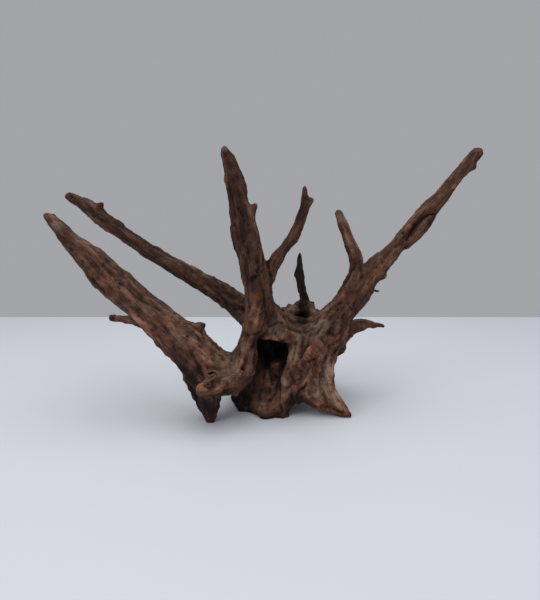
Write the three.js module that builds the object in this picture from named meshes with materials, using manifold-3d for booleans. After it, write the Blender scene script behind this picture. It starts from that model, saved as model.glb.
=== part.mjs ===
// A piece of corbo wood: the water-worn root stump of a shrub, used as an ornament in an aquarium.
// It grew as one piece, so it is one solid: a hollow stump with long limbs, forks, broken twigs and root feet.
// Millimetres, +Z up, +X to the viewer's right, and the hollow opens towards the viewer at -Y.
import * as THREE from 'three';
import { ImprovedNoise } from 'three/addons/math/ImprovedNoise.js';
import { SimplifyModifier } from 'three/addons/modifiers/SimplifyModifier.js';
import { edgeTable, triTable } from 'three/addons/objects/MarchingCubes.js';
import { mergeVertices } from 'three/addons/utils/BufferGeometryUtils.js';
import Module from 'manifold-3d';

// Driving dimensions
const GRID_STEP = 2; // spacing of the grid that the surface is found on
const BLOCK = 4; // grid steps along a block, which is left out whole where it is far from the surface
const SURFACE_VERTICES = 5850; // vertices kept on the finished surface
const STATION_STEP = 4; // length of one straight step along a limb
const STOUT_BLEND = 12; // how softly the stump's lumps run into each other
const LIMB_BLEND = 9; // how softly a limb grows out of the wood round it
const TWIG_BLEND = 4; // the same for twigs, thorns and splinters
const FLUTE_DEPTH = 0.12; // depth of the long ribs and channels, as a share of a limb's radius
const LUMP_DEPTH = 1.3; // height of the knobbly waves that cross the whole surface
const LUMP_SIZE = 17; // width of one such wave
const SAW_DEPTH = 30; // thickness of what is taken off below the resting plane

const BARK_BROWN = 0x5f4334;

// Each run of wood is a list of stations, [x, y, z, radius], along the middle of a root, limb or twig.
// The stump is the mass that the cave is hollowed out of.
const stump = {
  backWall: [[-20, 22, 38, 18], [-4, 28, 52, 23], [22, 32, 56, 27], [46, 22, 56, 25]],
  crown: [[32, 10, 62, 23], [34, 15, 78, 16.5], [35, 19, 87, 14.5], [35, 21, 92, 12]],
  rampBlock: [[1, -34, -8, 15], [1, -24, 8, 17], [2, -6, 16, 20], [4, 14, 20, 21]],
  rightShoulder: [[38, 4, 40, 23], [46, -6, 62, 21], [56, -6, 76, 18]],
  leftWall: [[-15, 6, 48, 17], [-24, -8, 32, 13], [-24, -18, 14, 10], [-21, -22, -6, 9]],
  roof: [[-6, -12, 86, 9], [8, 4, 84, 14], [24, 4, 80, 18]],
};

// Hollows, as runs of empty space: the cave, the broken crown's mouth and a bay in the back.
const hollows = {
  cave: [
    [2, -58, 54, 14], [2, -40, 55, 16.5], [2, -22, 57, 17], [3, -4, 58, 17], [5, 12, 57, 15], [7, 22, 56, 12],
  ],
  crownMouth: [[32, -8, 105, 9.5], [32, 4, 96, 10], [33, 11, 89, 8], [34, 15, 83, 6]],
  backBay: [[14, 74, 30, 15], [14, 52, 34, 11]],
};

// Roots, limbs and their forks, which grow round the stump.
const limbs = {
  leftLimb: [
    [-31, -54, 49, 13], [-45, -54, 49.5, 15], [-59, -53, 58, 16.5], [-72, -50, 68.5, 17], [-89, -46, 80.5, 16],
    [-108, -42, 96.5, 13.7], [-131, -37, 116, 14], [-152, -32, 132.5, 14.4], [-166, -28, 147, 13.2],
    [-179, -24, 157, 11], [-190, -21, 167, 8.7], [-203, -17, 181, 7.2], [-211, -15, 188, 4.6],
    [-216, -14, 192, 3.4],
  ],
  rearLimb: [
    [4, 22, 70, 17], [-10, 20, 80, 15], [-26, 25, 91, 13], [-36, 28, 100, 12.3], [-53, 33, 110.5, 12],
    [-73, 40, 121, 10.2], [-106, 50, 138.5, 9.2], [-135, 58, 153.5, 9.1], [-157, 64, 168, 8],
    [-175, 68, 180, 8], [-191, 72, 190, 9.1], [-209, 77, 204, 8.3], [-226, 81, 214, 6.1], [-235, 83, 219, 4.6],
  ],
  uprightLimb: [
    [-30, -54, 48, 12.5], [-24, -52, 67, 9.5], [-19.5, -50, 80, 8.4], [-15, -48, 95, 9], [-12, -47, 109, 11],
    [-11, -46, 120, 12.4], [-15, -45, 136, 11.2], [-18, -43, 155, 10.5], [-23, -41, 172, 11.5],
    [-24.5, -38, 188, 9.7], [-28.5, -36, 202, 8.5], [-30, -34, 218, 8.8], [-34, -32, 229, 7.8],
    [-39, -29, 244, 5.3], [-42, -28, 250, 3.6],
  ],
  rightLimb: [
    [47, -8, 66, 19.5], [56, -6, 76, 18], [65, -3, 87, 15.8], [82, 2, 107, 15], [94, 6, 122, 13.8],
    [108, 10, 140, 11.3], [125.5, 14, 153.5, 8.2], [137, 17, 169.5, 7.8], [153, 21, 186, 7.8],
    [165, 24, 197, 8.8], [178, 27, 211, 7.2], [188, 29, 223.5, 6.3], [201, 31, 239, 5.9],
    [209.5, 33, 250.5, 6], [217, 34, 259, 6.6],
  ],
  hip: [[-44, -52, 49, 14], [-40, -42, 46, 14], [-32, -22, 40, 14], [-22, -4, 40, 14]],
  nose: [[-30, -60, 46, 11], [-41, -66, 43, 10.5], [-51, -74, 41, 8.5], [-57, -81, 41, 7]],
  lip: [[-38, -62, 42, 9], [-28, -63, 46, 8], [-22, -61, 54, 6.5], [-21, -57, 64, 5.5]],
  leftFoot: [
    [-70, -50, 64, 16], [-64, -48, 46, 16], [-60, -49, 30, 13.5], [-57.5, -50, 19, 11.3], [-56.5, -51, 10, 8],
    [-56, -53, -2, 3.6],
  ],
  flank: [[-12, -44, 118, 7], [-4, -40, 108, 7.5], [2, -34, 98, 9], [6, -24, 88, 10]],
  bridge: [[-14, -40, 88, 7], [-4, -34, 84, 9], [8, -35, 82, 8.5], [20, -28, 79, 9], [33, -14, 69, 13]],
  column: [[34, -14, 70, 11], [30, -28, 63, 10], [25, -38, 52, 8], [19.5, -44, 40, 7.5]],
  apron: [[40, -12, 66, 13], [41, -21, 56, 13], [42, -24, 44, 13]],
  finger: [[43, -55, 73, 5], [39, -56, 66, 5.4], [36, -54, 58, 5.6], [31, -50, 49, 6], [26, -42, 39, 7]],
  rightFoot: [
    [45, -12, 56, 19], [46, -20, 38, 16], [50, -28, 22, 13], [59, -35, 11, 9], [69, -40, 5, 6], [75, -43, 1, 4],
  ],
  footWeb: [[38, -24, 48, 14], [33, -30, 32, 11], [32, -33, 21, 8], [48, -35, 12, 8]],
  rampSide: [[16, -30, 36, 8], [13, -36, 22, 8], [11, -38, 6, 8.5], [10, -38, -6, 8.5]],
  rearLeftFoot: [[-12, 26, 42, 19], [-28, 46, 22, 13], [-38, 58, 6, 8.5], [-42, 62, -6, 7]],
  rearRightFoot: [[42, 20, 46, 20], [54, 38, 24, 13], [61, 52, 8, 8.5], [64, 57, -6, 7]],
  backSpine: [[30, 36, 90, 8], [20, 50, 72, 9], [4, 55, 50, 9], [-16, 54, 30, 8], [-34, 57, 10, 7]],
  backShoulder: [[60, 12, 84, 9], [62, 28, 62, 8.5], [58, 38, 42, 8], [60, 50, 16, 7]],
  backCross: [[-20, 28, 60, 8], [-6, 44, 44, 8], [20, 54, 38, 7], [44, 44, 32, 7]],
};

// Forks, twigs, thorns and broken ends.
const twigs = {
  uprightFork: [
    [-8, -46, 124, 9], [-3, -45, 133, 7.3], [1, -42, 141.5, 6.1], [7, -39, 151.5, 6.2], [16, -35, 164, 5.3],
    [24.5, -31, 176.5, 5.4], [30, -27, 192, 5.2], [32.5, -25, 201, 4.2], [32, -24, 210, 2.8],
    [32.5, -23, 217, 1.8],
  ],
  forkThorn: [[33, -25, 202, 3.4], [39, -24, 206, 1.8]],
  rightFork: [
    [80, 0, 114, 8], [84, -1, 126, 7.2], [87, -3, 138, 7.2], [85.5, -6, 153, 7], [77.5, -10, 166.5, 5.3],
    [72, -13, 180, 5.6], [69, -15, 188, 4.4], [66.5, -16, 193, 3.9],
  ],
  limbFlap: [[141, 14, 162, 4.2], [151, 15, 172, 5], [160, 16, 183, 5.4], [167, 18, 192, 4.6]],
  crownTwig: [
    [36, 21, 84, 8], [37, 18, 94, 5.8], [37, 16, 103, 5], [33, 18, 119, 5], [31, 20, 136, 3.9],
    [31, 21, 145, 3], [31.5, 22, 154, 2],
  ],
  crownTwigThorn: [[31, 20, 134, 3.4], [26, 20, 131, 1.6]],
  crownLeftTooth: [[27, 14, 93, 5], [20, 14, 101, 2.2]],
  crownRightTooth: [[42, 22, 94, 6], [47, 24, 102, 2.4]],
  crownBackTooth: [[36, 30, 92, 6], [37, 32, 104, 2.6]],
  rightStub: [
    [66, 4, 68, 12], [84, 16, 75, 9], [94, 26, 75, 6.6], [102, 34, 75, 5.9], [109, 40, 74.5, 5],
    [117, 45, 72.5, 3.8], [124, 49, 71.5, 2.8], [130, 51, 70.5, 2],
  ],
  backTwig: [[84, 8, 108, 7], [98, 12, 113, 4.4], [108, 24, 114, 3], [119, 34, 112.5, 2.1]],
  leftStub: [
    [-108, -38, 88, 8], [-119, -31, 89.5, 5.8], [-127, -26, 90, 4.7], [-138, -18, 90.5, 4], [-151, -9, 89, 3.4],
    [-161, -3, 88.5, 2.8],
  ],
  leftStubHook: [[-159, -3, 89, 2.6], [-164, -1, 92, 1.6]],
  leftStubClaw: [[-158, -3, 90, 2.4], [-160, -1, 96, 1.5]],
  leftTipTooth: [[-212, -14, 187, 3], [-209, -13, 193, 1.7]],
  leftLimbBump: [[-134, -36, 128, 7], [-139, -35, 138, 3]],
  leftLimbSpur: [[-76, -46, 80, 8], [-69, -42, 89, 4], [-63, -42, 89, 2.2]],
  rearLimbThorn: [[-199, 75, 205, 5], [-194, 75, 210, 2.2]],
  rearLimbKnot: [[-178, 68, 182, 6], [-170, 68, 184, 3]],
  rearLimbBreak: [[-68, 38, 124, 6], [-61, 37, 127, 2.6]],
  uprightThorn: [[-20, -39, 190, 6.5], [-16, -38, 196, 3.4], [-13, -38, 201, 1.7]],
  uprightBark: [[-28, -42, 172, 7], [-33, -42, 178, 3]],
  flankThorn: [[0, -38, 106, 6], [7, -38, 105, 2.2]],
  rightTipKnob: [[207, 31, 245, 5.2], [214, 31, 243, 2.6]],
  rightLimbKnob: [[110, 9, 136, 7], [117, 9, 131, 3]],
  shoulderKnob: [[64, 0, 64, 12], [72, -3, 58, 6.5], [70, -4, 54, 4]],
  shoulderBump: [[72, 4, 74, 8], [79, 6, 69, 3.4]],
  bridgeTooth: [[10, -37, 80, 6], [12, -38, 72, 2.4]],
  lipSplinter: [[-23, -62, 42, 4], [-27, -63, 35, 2], [-30, -63, 29, 1.5]],
  backThorn: [[8, 50, 62, 9], [2, 66, 70, 5], [-2, 74, 74, 2.6]],
  backKnob: [[44, 44, 78, 12], [50, 56, 84, 6]],
};

// Knot holes and splits, as runs of empty space that are cut last, so that they stay crisp.
const cuts = {
  limbSplit: [[145, 4, 162, 1.4], [152, 6, 172, 2.2], [161, 8, 186, 2.4], [170, 12, 197, 1.8]],
  shoulderHole: [[60, -34, 79, 4], [58, -24, 78, 3]],
  fingerHole: [[39, -70, 63, 3], [37, -58, 61, 2.5]],
  knotHole: [[-18, -64, 135, 3.5], [-16, -55, 134, 3]],
  hipHole: [[-24, -80, 58, 3], [-23, -68, 57, 2.5]],
  nosePit: [[-51, -74, 49, 4], [-51, -64, 46, 4], [-50, -56, 44, 3]],
};

// Distance to a run of wood: a row of tapering steps round a smooth line, with ribs that wind along it.
class Run {
  constructor(stations, blend, fluted = true) {
    const axis = new THREE.CatmullRomCurve3(stations.map(([x, y, z]) => new THREE.Vector3(x, y, z)));
    const radius = new THREE.CatmullRomCurve3(
      stations.map(([, , , r], i) => new THREE.Vector3(r, i * STATION_STEP * 4, 0)),
    );
    const steps = Math.max(2, Math.ceil(axis.getLength() / STATION_STEP));
    this.blend = blend;
    this.fluted = fluted;
    this.points = Array.from({ length: steps + 1 }, (_, i) => axis.getPoint(i / steps));
    this.radii = this.points.map((_, i) => radius.getPoint(i / steps).x);
    const frames = axis.computeFrenetFrames(steps);
    this.along = frames.tangents;
    this.side = frames.normals;
    this.phase = stations[0][0] * 0.37 + stations[0][2] * 0.11;
    const reach = Math.max(...this.radii) * 1.3 + blend + BLOCK * GRID_STEP;
    this.box = new THREE.Box3().setFromPoints(this.points).expandByScalar(reach);
  }

  distance(p) {
    let nearest = Infinity;
    let at = 0;
    let share = 0;
    for (let i = 0; i + 1 < this.points.length; i++) {
      const a = this.points[i];
      const b = this.points[i + 1];
      const [ex, ey, ez] = [b.x - a.x, b.y - a.y, b.z - a.z];
      const [dx, dy, dz] = [p.x - a.x, p.y - a.y, p.z - a.z];
      const t = THREE.MathUtils.clamp((dx * ex + dy * ey + dz * ez) / (ex * ex + ey * ey + ez * ez), 0, 1);
      const radius = THREE.MathUtils.lerp(this.radii[i], this.radii[i + 1], t);
      const d = Math.hypot(dx - ex * t, dy - ey * t, dz - ez * t) - radius;
      if (d < nearest) [nearest, at, share] = [d, i, t];
    }
    return this.fluted ? nearest - this.flute(p, at, share) : nearest;
  }

  // Ribs and channels at an angle round the axis, drifting slowly along it.
  flute(p, at, share) {
    const between = (row) => row[at].clone().lerp(row[at + 1], share);
    const side = between(this.side);
    const across = between(this.along).cross(side);
    const out = p.clone().sub(between(this.points));
    const angle = Math.atan2(out.dot(across), out.dot(side));
    const s = (at + share) * STATION_STEP;
    const radius = THREE.MathUtils.lerp(this.radii[at], this.radii[at + 1], share);
    const wave = 0.5 * Math.cos(2 * angle + this.phase + s / 55)
      + 0.6 * Math.cos(5 * angle - this.phase - s / 38)
      + 0.4 * Math.cos(8 * angle + 2 * this.phase + s / 24 + Math.sin(s / 19));
    return wave * FLUTE_DEPTH * radius;
  }
}

const runsOf = (group, blend, fluted) =>
  Object.values(group).map((stations) => new Run(stations, blend, fluted));
const stumpRuns = runsOf(stump, STOUT_BLEND);
const hollowRuns = runsOf(hollows, LIMB_BLEND, false);
const limbRuns = runsOf(limbs, LIMB_BLEND);
const twigRuns = runsOf(twigs, TWIG_BLEND);
const cutRuns = runsOf(cuts, TWIG_BLEND / 2, false);

// The lower of two distances, rounded over where they are within the blend of each other.
function join(a, b, blend) {
  const near = Math.max(blend - Math.abs(a - b), 0) / blend;
  return Math.min(a, b) - (near * near * blend) / 4;
}

const joinAll = (runs, p, start) =>
  runs.reduce((d, run) => (run.box.containsPoint(p) ? join(d, run.distance(p), run.blend) : d), start);

const cutAll = (runs, p, start) =>
  runs.reduce((d, run) => (run.box.containsPoint(p) ? -join(-d, run.distance(p), run.blend) : d), start);

const noise = new ImprovedNoise();

const lumps = (p) =>
  LUMP_DEPTH * noise.noise(p.x / LUMP_SIZE, p.y / LUMP_SIZE, p.z / LUMP_SIZE)
  + (LUMP_DEPTH / 2) * noise.noise((p.x * 2) / LUMP_SIZE, (p.y * 2) / LUMP_SIZE, (p.z * 2) / LUMP_SIZE);

// Distance to the wood's surface, negative inside it.
function wood(p) {
  const far = 2 * STOUT_BLEND;
  let d = joinAll(stumpRuns, p, far);
  d = cutAll(hollowRuns, p, d);
  d = joinAll(limbRuns, p, d);
  d = joinAll(twigRuns, p, d);
  d += Math.abs(d) < 4 * LUMP_DEPTH ? lumps(p) : 0;
  return cutAll(cutRuns, p, d);
}

// The surface where a distance is zero, by marching cubes: each crossed grid edge gives one shared vertex.
function surfaceOf(distance, box, step) {
  const size = box.getSize(new THREE.Vector3()).divideScalar(BLOCK * step).ceil().multiplyScalar(BLOCK);
  const [nx, ny, nz] = [size.x, size.y, size.z];
  const node = (i, j, k) => i + nx * (j + ny * k);
  const place = (i, j, k) => new THREE.Vector3(i, j, k).multiplyScalar(step).add(box.min);
  const values = new Float64Array(nx * ny * nz);
  const cells = [];
  const fillBlock = (bi, bj, bk) => {
    const middle = distance(place(bi + BLOCK / 2, bj + BLOCK / 2, bk + BLOCK / 2));
    const near = Math.abs(middle) < BLOCK * step * 1.2;
    for (let k = bk; k < bk + BLOCK; k++)
      for (let j = bj; j < bj + BLOCK; j++)
        for (let i = bi; i < bi + BLOCK; i++) {
          values[node(i, j, k)] = near ? distance(place(i, j, k)) : middle;
          if (near && i + 1 < nx && j + 1 < ny && k + 1 < nz) cells.push([i, j, k]);
        }
  };
  for (let bk = 0; bk < nz; bk += BLOCK)
    for (let bj = 0; bj < ny; bj += BLOCK)
      for (let bi = 0; bi < nx; bi += BLOCK) fillBlock(bi, bj, bk);

  // A cell's corners, and its edges as pairs of them, in the order that the two tables number them.
  const corners = [
    [0, 0, 0], [1, 0, 0], [1, 1, 0], [0, 1, 0], [0, 0, 1], [1, 0, 1], [1, 1, 1], [0, 1, 1],
  ];
  const edges = [
    [0, 1], [1, 2], [3, 2], [0, 3], [4, 5], [5, 6], [7, 6], [4, 7], [0, 4], [1, 5], [2, 6], [3, 7],
  ];
  const positions = [];
  const index = [];
  const made = new Map();
  const vertexOn = (i, j, k, edge) => {
    const [a, b] = edges[edge].map((c) => corners[c].map((v, axis) => v + [i, j, k][axis]));
    const key = `${node(...a)}_${node(...b)}`;
    if (!made.has(key)) {
      const [va, vb] = [values[node(...a)], values[node(...b)]];
      const at = place(...a).lerp(place(...b), va / (va - vb));
      made.set(key, positions.length / 3);
      positions.push(at.x, at.y, at.z);
    }
    return made.get(key);
  };
  for (const [i, j, k] of cells) {
    const outside = corners.map(([x, y, z]) => values[node(i + x, j + y, k + z)] > 0);
    const kind = outside.reduce((bits, is, c) => bits | (is ? 1 << c : 0), 0);
    if (!edgeTable[kind]) continue;
    for (let n = 16 * kind; triTable[n] >= 0; n++) index.push(vertexOn(i, j, k, triTable[n]));
  }
  return new THREE.BufferGeometry()
    .setAttribute('position', new THREE.Float32BufferAttribute(positions, 3))
    .setIndex(index);
}

const wasm = await Module();
wasm.setup();

function solidOf(geometry) {
  const bare = geometry.clone();
  bare.deleteAttribute('normal');
  bare.deleteAttribute('uv');
  const merged = mergeVertices(bare, 1e-3);
  const mesh = new wasm.Mesh({
    numProp: 3,
    vertProperties: merged.attributes.position.array,
    triVerts: new Uint32Array(merged.index.array),
  });
  return new wasm.Manifold(mesh);
}

function geometryOf(solid) {
  const { vertProperties, triVerts } = solid.getMesh();
  return new THREE.BufferGeometry()
    .setAttribute('position', new THREE.Float32BufferAttribute(vertProperties, 3))
    .setIndex(new THREE.BufferAttribute(triVerts, 1));
}

// The whole piece: found on the grid, thinned to its ribs and hollows, and worn flat where its feet rest.
async function buildWood() {
  const box = new THREE.Box3();
  for (const run of [...stumpRuns, ...limbRuns, ...twigRuns]) box.union(run.box);
  const fine = surfaceOf(wood, box, GRID_STEP);
  const thinned = await new SimplifyModifier().modify(fine, fine.attributes.position.count - SURFACE_VERTICES);
  const size = box.getSize(new THREE.Vector3());
  const saw = new THREE.BoxGeometry(size.x, 2 * size.y, SAW_DEPTH).translate(0, 0, -SAW_DEPTH / 2);
  const pieces = solidOf(thinned).subtract(solidOf(saw)).decompose();
  const whole = pieces.reduce((most, piece) => (piece.volume() > most.volume() ? piece : most));
  return geometryOf(whole);
}

const geometry = await buildWood();
geometry.computeBoundingBox();
const middle = geometry.boundingBox.getCenter(new THREE.Vector3());
geometry.translate(-middle.x, -middle.y, 0); // the origin is under the middle, on the resting plane
geometry.computeVertexNormals();

const bark = new THREE.MeshStandardMaterial({ color: BARK_BROWN, roughness: 0.85, metalness: 0 });
const corboWood = new THREE.Mesh(geometry, bark);
corboWood.name = 'corbo_wood';

const group = new THREE.Group();
group.add(corboWood);

export default group;
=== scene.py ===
"""A piece of corbo wood: the water-worn root stump of a shrub, used as an ornament in an aquarium.

This script gives it the fine surface: grain that runs along each limb,
furrows, cracks, knots, worm holes and splintered ends, and the colours that go with them,
with shade painted into pits, furrows, hollows and undersides, and light painted onto rims.
"""
import math

import bpy
import numpy as np
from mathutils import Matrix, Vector, noise
from mathutils.bvhtree import BVHTree
from mathutils.kdtree import KDTree

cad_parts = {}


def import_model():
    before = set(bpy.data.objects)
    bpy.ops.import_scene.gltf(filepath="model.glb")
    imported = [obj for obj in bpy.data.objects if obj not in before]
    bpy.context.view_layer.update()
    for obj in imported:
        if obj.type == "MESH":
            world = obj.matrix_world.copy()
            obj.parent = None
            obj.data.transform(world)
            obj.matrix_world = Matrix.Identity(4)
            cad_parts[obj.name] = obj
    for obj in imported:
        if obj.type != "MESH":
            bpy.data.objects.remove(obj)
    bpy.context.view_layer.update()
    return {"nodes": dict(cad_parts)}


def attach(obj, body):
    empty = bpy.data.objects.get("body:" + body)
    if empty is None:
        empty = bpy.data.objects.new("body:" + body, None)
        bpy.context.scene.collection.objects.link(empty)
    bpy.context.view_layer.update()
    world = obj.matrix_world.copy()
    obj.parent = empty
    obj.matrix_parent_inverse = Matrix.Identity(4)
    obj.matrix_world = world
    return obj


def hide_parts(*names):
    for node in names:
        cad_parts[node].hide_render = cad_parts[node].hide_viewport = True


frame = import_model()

NODE = "corbo_wood"
MM = 0.001
SEED = 7

# Driving sizes of the surface. In a round each vertex takes on the mean of its neighbours.
FINE_STEP = 1.22 * MM  # spacing of the vertices on the finished surface
MOST_TRIANGLES = 196000  # that the finished surface may have
COARSE_STEP = 3 * MM  # spacing on the rough copy that the grain's direction is read from
FACET_ROUNDS = 8  # to take the solid's facets off
STEP_IN, STEP_OUT = 0.55, 0.57  # shares of a smoothing step
GRAIN_STRIDE = 1.6 * MM  # length of one step when a line is followed along the grain
STRIDE_SLACK = 0.1 * MM  # keeps the nearest vertex from counting alone
UPRIGHT = 0.05  # the pull towards upright grain
ROUGH_WAY_ROUNDS, FINE_WAY_ROUNDS = 90, 14
DRIFT, DRIFT_SIZE = 0.4, 26 * MM  # how far the grain wanders, and over what length
JUST_INSIDE = 0.3  # millimetres under the surface, where a ray through the wood starts
THICKEST = 80 * MM  # wood counts as no deeper than this
DEPTH_ROUNDS = 6
STOUT = 14 * MM  # half the thickness at which ribs and furrows are as deep as they get
SLIGHTEST = 0.12  # the least share of STOUT that a twig counts as
FURROW_DEPTH, FURROW_WIDTH = 0.55 * MM, 0.28
CHECK_DEPTH, CHECK_WIDTH, CHECK_GROUP = 0.5 * MM, 0.16, 24 * MM  # short splits, which come in groups
RIB_HEIGHT = 0.35 * MM
CORD_HEIGHT = 0.22 * MM  # ribs between the broad ones and the fibres
FIBRE_HEIGHT = 0.16 * MM
LUMP_HEIGHT = 0.8 * MM
LUMP_SIZE = 8 * MM
WRINKLE_HEIGHT = 0.55 * MM
WRINKLE_SIZE = 4.2 * MM
SMALL_KNOT, SMALL_PIT, SMALL_CRACK = 1.1, 0.9, 0.6  # millimetres that the seeded ones rise or sink
STUMP_REACH = 120 * MM, 60 * MM  # from MIDDLE: where the stump's own wrinkles start, and are full
# Painted shade, from how much sky each vertex sees:
OPEN_REACH = 70 * MM  # how far a vertex looks for wood that keeps the light off it
OPEN_RAYS = 40
SIDE_LIGHT = 0.3  # what light from the side counts, where light from above counts 1
SHADED = 0.50, 0.20  # openness at which shade starts, and is full
SHUT = 0.32, 0.08  # the same for the painted black shade in closed hollows
TURNED_BACK = -0.1, 0.4  # how far a normal points back where seeded patches start, and are full
# the depth below its surroundings that the painted furrow shade is scaled by
FURROW_SHADE_DEPTH = 1.6 * MM
FIBRE_DRAW = 14  # how much longer than wide the finest fibres are
MEETING = 5 * MM  # how much nearer than the next a limb is where its fibres show in full
CALM = 0.6  # the share of the relief that is worn off where the wood is tan
WEAR_ROUNDS = 60
FOOT_LEVEL = 0.6 * MM  # below this the wood stands on the table, and stays flat
SPOT_EDGE = 1.3  # radii from its middle at which a spot has faded out
LINE_EDGE, LINE_CORE = 2.2, 0.15  # a line's reach in half widths, and its core as a share of that
RIM_STOPS = 8  # places on a hollow's rim that its level is read from
RIM_CORE, RIM_DEEPEST = 0.75, 4  # in radii: how far out it is levelled in full, and how deep it may be
RIM_FILL = 0.9  # the share of its depth that is filled

# The camera, which stands where the photograph was taken
FRAME_WIDTH, FRAME_HEIGHT = 540, 600
CAMERA_PLACE = Vector((8.21, -456.07, 171.6)) * MM
CAMERA_PITCH = math.radians(8)  # how far the camera looks down
LENS = 27.0
SENSOR = 36.0
FOCAL = LENS / SENSOR * FRAME_HEIGHT  # in pixels: the sensor's width spans the frame's longer side

# Places on the wood are given as the photograph's pixels across and down, and sizes in millimetres.
# Pits, knot holes and hollows: across, down, radius, depth
pits = {
    "limb worm hole": (188, 336, 2, 3),
    "limb knot": (102, 266, 3.6, 1.8),
    "limb edge knot": (82, 262, 2, 1.2),
    "limb upper mark": (72, 250, 2, 1.2),
    "limb middle mark": (119, 289, 2, 1.3),
    "limb lower pit": (138, 316, 1.6, 1.2),
    "limb top pit": (173, 317, 1.6, 1),
    "nose pit": (213, 381, 2.6, 2.6),
    "nose upper pit": (216, 377, 2.2, 2),
    "nose lower pit": (209, 383, 1.8, 1.6),
    "nose far pit": (219, 382, 1.8, 1.4),
    "nose dent": (214, 368, 3, 1.4),
    "hip hole": (243, 369, 2, 4),
    "hip brow": (219, 368, 3, 1.2),
    "hip far dent": (214, 359, 3, 0.9),
    "right tip hole": (479, 152, 1.8, 2),
    "knob pits": (291, 374, 2.2, 1.8),
    "knob lower pits": (293, 380, 2, 1.4),
    "hip dent": (245, 360, 2.8, 1.8),
    "hip notch": (247, 363, 1.8, 1.6),
    "fork knot": (255, 277, 2.4, 2.6),
    "upright notch": (244, 241, 2, 1.8),
    "upright mark": (248, 225, 1.7, 1.3),
    "upright end hollow": (225, 155, 2.6, 2.6),
    "rear end hollow": (71, 197, 2.4, 2),
    "crown knot": (311, 316, 2.2, 2.4),
    "bridge notch": (282, 323, 2, 1.8),
    "shoulder dip": (331, 328, 4.2, 1.8),
    "shoulder eye": (333, 335, 2.4, 4.5),
    "shoulder crease": (337, 341, 2.2, 1.4),
    "shoulder pocket": (336, 352, 3.4, 2.4),
    "shoulder upper pit": (337, 310, 2.6, 1.6),
    "shoulder side pit": (343, 317, 2.2, 1.3),
    "finger hole": (314, 359, 2, 4),
    "finger gap": (324, 345, 2.4, 2.2),
    "web pit": (306, 385, 2.6, 2),
    "swirl knot": (292, 377, 2.6, 2),
    "right limb pit": (403, 233, 2.4, 2),
    "right limb low pit": (362, 278, 2.2, 1.3),
    "right limb fork pit": (360, 270, 1.6, 1),
    "right limb root pit": (367, 297, 1.8, 1.2),
    "right limb side pit": (341, 303, 1.8, 1.2),
    "right tip mark": (478, 153, 1.8, 1.4),
    "right fork mark": (344, 230, 1.8, 1),
    "rear limb mark": (177, 264, 2, 0.9),
    "ramp corner pit": (262, 407, 2.4, 1.2),
}
# Knots, knobs and lumps that stand proud: across, down, radius, height
knobs = {
    "column knob": (285, 382, 6.5, 3.4),
    "left stub": (124, 319, 6, 0.8),
    "left stub neck": (118, 318, 4.5, 2.4),
    "spur web": (202, 331, 4.5, 2.4),
    "twig root": (301, 310, 4, 1.2),
    "right limb shoulder": (388, 248, 8, 1.5),
    "nose tip": (200, 389, 6, 1.6),
    "back twig": (377, 291, 4, 0.6),
    "swirl rim": (292, 372, 3.4, 1.6),
    "fork knot rim": (252, 274, 3.2, 1.2),
    "fork knot side": (259, 279, 3, 1.1),
    "finger tip": (317, 345, 5.5, 1.8),
    "shoulder lump": (338, 322, 4.2, 2),
    "shoulder lower lump": (341, 346, 4.5, 1.6),
    "pocket lip": (333, 357, 3.2, 1.2),
    "hip knuckle": (250, 368, 5, 1.8),
    "hip upper knuckle": (250, 356, 3.6, 1.4),
    "nose end": (201, 388, 5, 1.2),
    "nose brow": (209, 377, 4, 1.2),
    "limb knot rim": (98, 263, 4.6, 1),
    "right limb burl": (408, 227, 3.4, 0.9),
    "crown lip": (302, 330, 5, 0.6),
    "bridge brow": (276, 329, 8, 1.4),
    "rear limb burl": (119, 222, 4, 0.9),
    "foot lump": (323, 381, 6, 0.9),
}
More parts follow.
